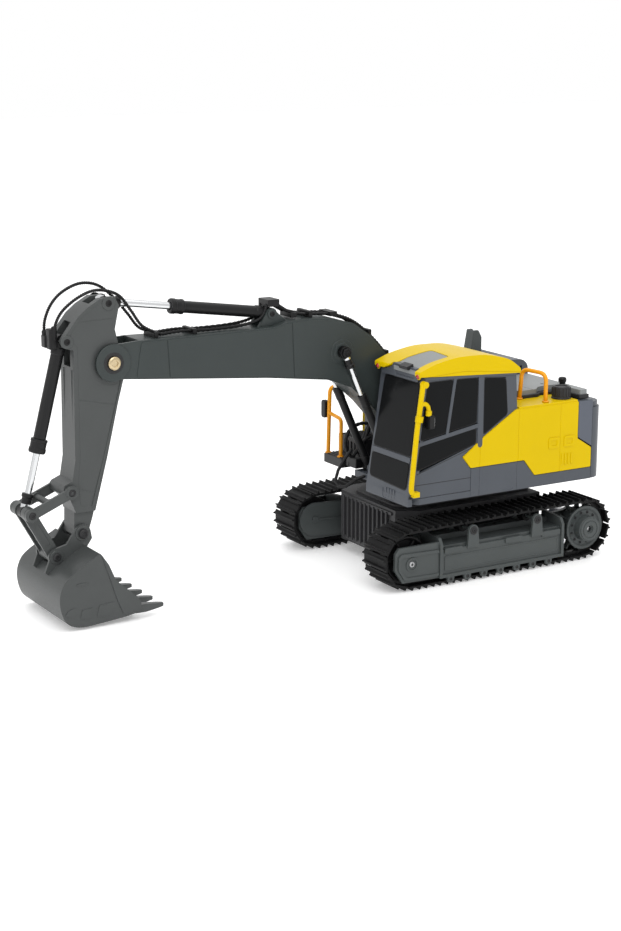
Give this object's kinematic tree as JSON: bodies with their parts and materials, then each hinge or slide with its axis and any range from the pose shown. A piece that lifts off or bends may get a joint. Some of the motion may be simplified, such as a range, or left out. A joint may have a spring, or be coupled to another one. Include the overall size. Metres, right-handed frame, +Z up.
{
  "type": "rc excavator",
  "caption": "Remote-controlled tracked excavator model with a jointed boom, arm and bucket, swinging upper body and chain tracks.",
  "frame": {"origin": "on the ground, under the centre of the bounding box of the pose with the bucket flat on the ground", "axes": "+Z up, -Y towards the bucket, +X towards the cab side, which is the left of the machine"},
  "size_m": [0.166, 0.4561, 0.2311],
  "materials": {
    "battery_blue": "shrink wrap",
    "black": "black moulded plastic",
    "black_rubber": "soft black hose",
    "board_green": "circuit board",
    "boom_grey": "satin moulded plastic",
    "brass": "plated screw",
    "cab_grey": "satin moulded plastic",
    "chrome": "polished",
    "counterweight_grey": "satin moulded plastic",
    "dark_grey": "satin moulded plastic",
    "orange": "orange moulded plastic",
    "steel": "zinc plated",
    "tinted": "opaque dark tint, glossy",
    "warm_grey": "satin moulded plastic",
    "yellow": "satin yellow"
  },
  "bodies": {
    "undercarriage": {"carbody": "dark_grey", "swing_ring": "steel", "left_track_frame": "dark_grey", "left_track_belt": "black", "left_lower_rollers": "black", "left_drive_motor": "steel", "right_track_frame": "dark_grey", "right_track_belt": "black", "right_lower_rollers": "black", "right_drive_motor": "steel"},
    "upper": {"upper_frame": "cab_grey", "housing": "cab_grey", "left_panel": "yellow", "right_panel": "yellow", "counterweight": "counterweight_grey", "engine_hood": "cab_grey", "exhaust_stack": "dark_grey", "deck_cover": "warm_grey", "filler_cap": "dark_grey", "deck_handrail": "orange", "front_handrail": "orange", "step_box": "dark_grey", "right_mirror": "black", "cab_shell": "cab_grey", "cab_glazing": "tinted", "cab_roof": "yellow", "cab_grab_rail": "yellow", "left_mirror": "black", "battery_pack": "battery_blue", "control_board": "board_green", "swing_motor": "steel", "boom_foot_pin": "steel", "base_hose": "black_rubber"},
    "power_switch": {"power_switch": "black"},
    "boom": {"boom": "boom_grey", "boom_hoses": "black_rubber", "arm_pin": "brass", "arm_hose_outer": "black_rubber", "arm_hose_inner": "black_rubber"},
    "arm_barrel": {"arm_barrel": "black"},
    "arm_rod": {"arm_rod": "chrome"},
    "arm": {"arm": "warm_grey", "bucket_pin": "dark_grey"},
    "rocker": {"rocker": "dark_grey"},
    "bucket_link": {"bucket_link": "dark_grey"},
    "bucket": {"bucket": "dark_grey"},
    "bucket_rod": {"bucket_rod": "chrome"},
    "bucket_barrel": {"bucket_barrel": "black"},
    "left_sprocket": {"left_sprocket": "dark_grey"},
    "left_idler": {"left_idler": "black"},
    "left_carrier_roller_1": {"left_carrier_roller_1": "black"},
    "left_carrier_roller_2": {"left_carrier_roller_2": "black"},
    "left_boom_rod": {"left_boom_rod": "chrome"},
    "left_boom_barrel": {"left_boom_barrel": "black"},
    "right_sprocket": {"right_sprocket": "dark_grey"},
    "right_idler": {"right_idler": "black"},
    "right_carrier_roller_1": {"right_carrier_roller_1": "black"},
    "right_carrier_roller_2": {"right_carrier_roller_2": "black"},
    "right_boom_rod": {"right_boom_rod": "chrome"},
    "right_boom_barrel": {"right_boom_barrel": "black"}
  },
  "joints": [
    {"name": "swing", "type": "hinge", "parent": "undercarriage", "child": "upper", "pos_m": [0, 0.1113, 0.0586], "axis": [0, 0, 1], "range_deg": [-170, 170]},
    {"name": "boom_lift", "type": "hinge", "parent": "upper", "child": "boom", "pos_m": [0, 0.1033, 0.088], "axis": [-1, 0, 0], "range_deg": [-15, 25]},
    {"name": "arm_swing", "type": "hinge", "parent": "boom", "child": "arm", "pos_m": [0, -0.1603, 0.1774], "axis": [-1, 0, 0], "range_deg": [-15, 30], "deforming": ["arm_hose_outer", "arm_hose_inner"]},
    {"name": "bucket_curl", "type": "hinge", "parent": "arm", "child": "bucket", "pos_m": [0, -0.1857, 0.0603], "axis": [-1, 0, 0], "range_deg": [-35, 40]},
    {"name": "left_boom_rod_pin", "type": "hinge", "parent": "boom", "child": "left_boom_rod", "pos_m": [0.0176, 0.0228, 0.1685], "axis": [-1, 0, 0], "range_deg": [-1.59, 1.15]},
    {"name": "left_boom_stroke", "type": "slide", "parent": "left_boom_rod", "child": "left_boom_barrel", "axis": [0, 0.4117, -0.9113], "range_m": [-0.01049, 0.01735]},
    {"name": "right_boom_rod_pin", "type": "hinge", "parent": "boom", "child": "right_boom_rod", "pos_m": [-0.0176, 0.0228, 0.1685], "axis": [-1, 0, 0], "range_deg": [-1.59, 1.15]},
    {"name": "right_boom_stroke", "type": "slide", "parent": "right_boom_rod", "child": "right_boom_barrel", "axis": [0, 0.4117, -0.9113], "range_m": [-0.01049, 0.01735]},
    {"name": "arm_barrel_pin", "type": "hinge", "parent": "boom", "child": "arm_barrel", "pos_m": [0, -0.0322, 0.2], "axis": [-1, 0, 0], "range_deg": [-0.7, 0.9]},
    {"name": "arm_stroke", "type": "slide", "parent": "arm_barrel", "child": "arm_rod", "axis": [0, -0.9904, 0.1385], "range_m": [-0.02101, 0.01061]},
    {"name": "rocker_pin", "type": "hinge", "parent": "arm", "child": "rocker", "pos_m": [0, -0.1937, 0.0905], "axis": [-1, 0, 0], "range_deg": [-27.28, 31.1]},
    {"name": "link_pin", "type": "hinge", "parent": "rocker", "child": "bucket_link", "pos_m": [0, -0.2233, 0.0784], "axis": [-1, 0, 0], "range_deg": [-25.18, 22.09]},
    {"name": "bucket_rod_pin", "type": "hinge", "parent": "rocker", "child": "bucket_rod", "pos_m": [0, -0.2233, 0.0784], "axis": [-1, 0, 0], "range_deg": [-26.46, 23.21]},
    {"name": "bucket_stroke", "type": "slide", "parent": "bucket_rod", "child": "bucket_barrel", "axis": [0, 0.2539, 0.9672], "range_m": [-0.01381, 0.01211]},
    {"name": "left_sprocket_spin", "type": "hinge", "parent": "undercarriage", "child": "left_sprocket", "pos_m": [0.06505, 0.204, 0.0245], "axis": [-1, 0, 0], "continuous": true},
    {"name": "left_idler_spin", "type": "hinge", "parent": "undercarriage", "child": "left_idler", "pos_m": [0.06505, 0.0403, 0.0234], "axis": [-1, 0, 0], "continuous": true},
    {"name": "left_carrier_spin_1", "type": "hinge", "parent": "undercarriage", "child": "left_carrier_roller_1", "pos_m": [0.06505, 0.0953, 0.0389], "axis": [-1, 0, 0], "continuous": true},
    {"name": "left_carrier_spin_2", "type": "hinge", "parent": "undercarriage", "child": "left_carrier_roller_2", "pos_m": [0.06505, 0.1543, 0.0389], "axis": [-1, 0, 0], "continuous": true},
    {"name": "right_sprocket_spin", "type": "hinge", "parent": "undercarriage", "child": "right_sprocket", "pos_m": [-0.06505, 0.204, 0.0245], "axis": [-1, 0, 0], "continuous": true},
    {"name": "right_idler_spin", "type": "hinge", "parent": "undercarriage", "child": "right_idler", "pos_m": [-0.06505, 0.0403, 0.0234], "axis": [-1, 0, 0], "continuous": true},
    {"name": "right_carrier_spin_1", "type": "hinge", "parent": "undercarriage", "child": "right_carrier_roller_1", "pos_m": [-0.06505, 0.0953, 0.0389], "axis": [-1, 0, 0], "continuous": true},
    {"name": "right_carrier_spin_2", "type": "hinge", "parent": "undercarriage", "child": "right_carrier_roller_2", "pos_m": [-0.06505, 0.1543, 0.0389], "axis": [-1, 0, 0], "continuous": true},
    {"name": "power_slide", "type": "slide", "parent": "upper", "child": "power_switch", "axis": [1, 0, 0], "range_m": [0, 0.003]}
  ],
  "couplings": [
    {"joint": "left_boom_rod_pin", "follows": "boom_lift", "ratio": -0.0435},
    {"joint": "left_boom_stroke", "follows": "boom_lift", "m_per_rad": 0.03931},
    {"joint": "right_boom_rod_pin", "follows": "boom_lift", "ratio": -0.0435},
    {"joint": "right_boom_stroke", "follows": "boom_lift", "m_per_rad": 0.03931},
    {"joint": "arm_barrel_pin", "follows": "arm_swing", "ratio": 0.0133},
    {"joint": "arm_stroke", "follows": "arm_swing", "m_per_rad": -0.03975},
    {"joint": "rocker_pin", "follows": "bucket_curl", "ratio": 0.765},
    {"joint": "link_pin", "follows": "bucket_curl", "ratio": -0.617},
    {"joint": "bucket_rod_pin", "follows": "bucket_curl", "ratio": -0.649},
    {"joint": "bucket_stroke", "follows": "bucket_curl", "m_per_rad": -0.0195},
    {"joint": "left_idler_spin", "follows": "left_sprocket_spin", "ratio": 1.0625},
    {"joint": "left_carrier_spin_1", "follows": "left_sprocket_spin", "ratio": 5.0238},
    {"joint": "left_carrier_spin_2", "follows": "left_sprocket_spin", "ratio": 5.0238},
    {"joint": "right_idler_spin", "follows": "right_sprocket_spin", "ratio": 1.0625},
    {"joint": "right_carrier_spin_1", "follows": "right_sprocket_spin", "ratio": 5.0238},
    {"joint": "right_carrier_spin_2", "follows": "right_sprocket_spin", "ratio": 5.0238}
  ]
}
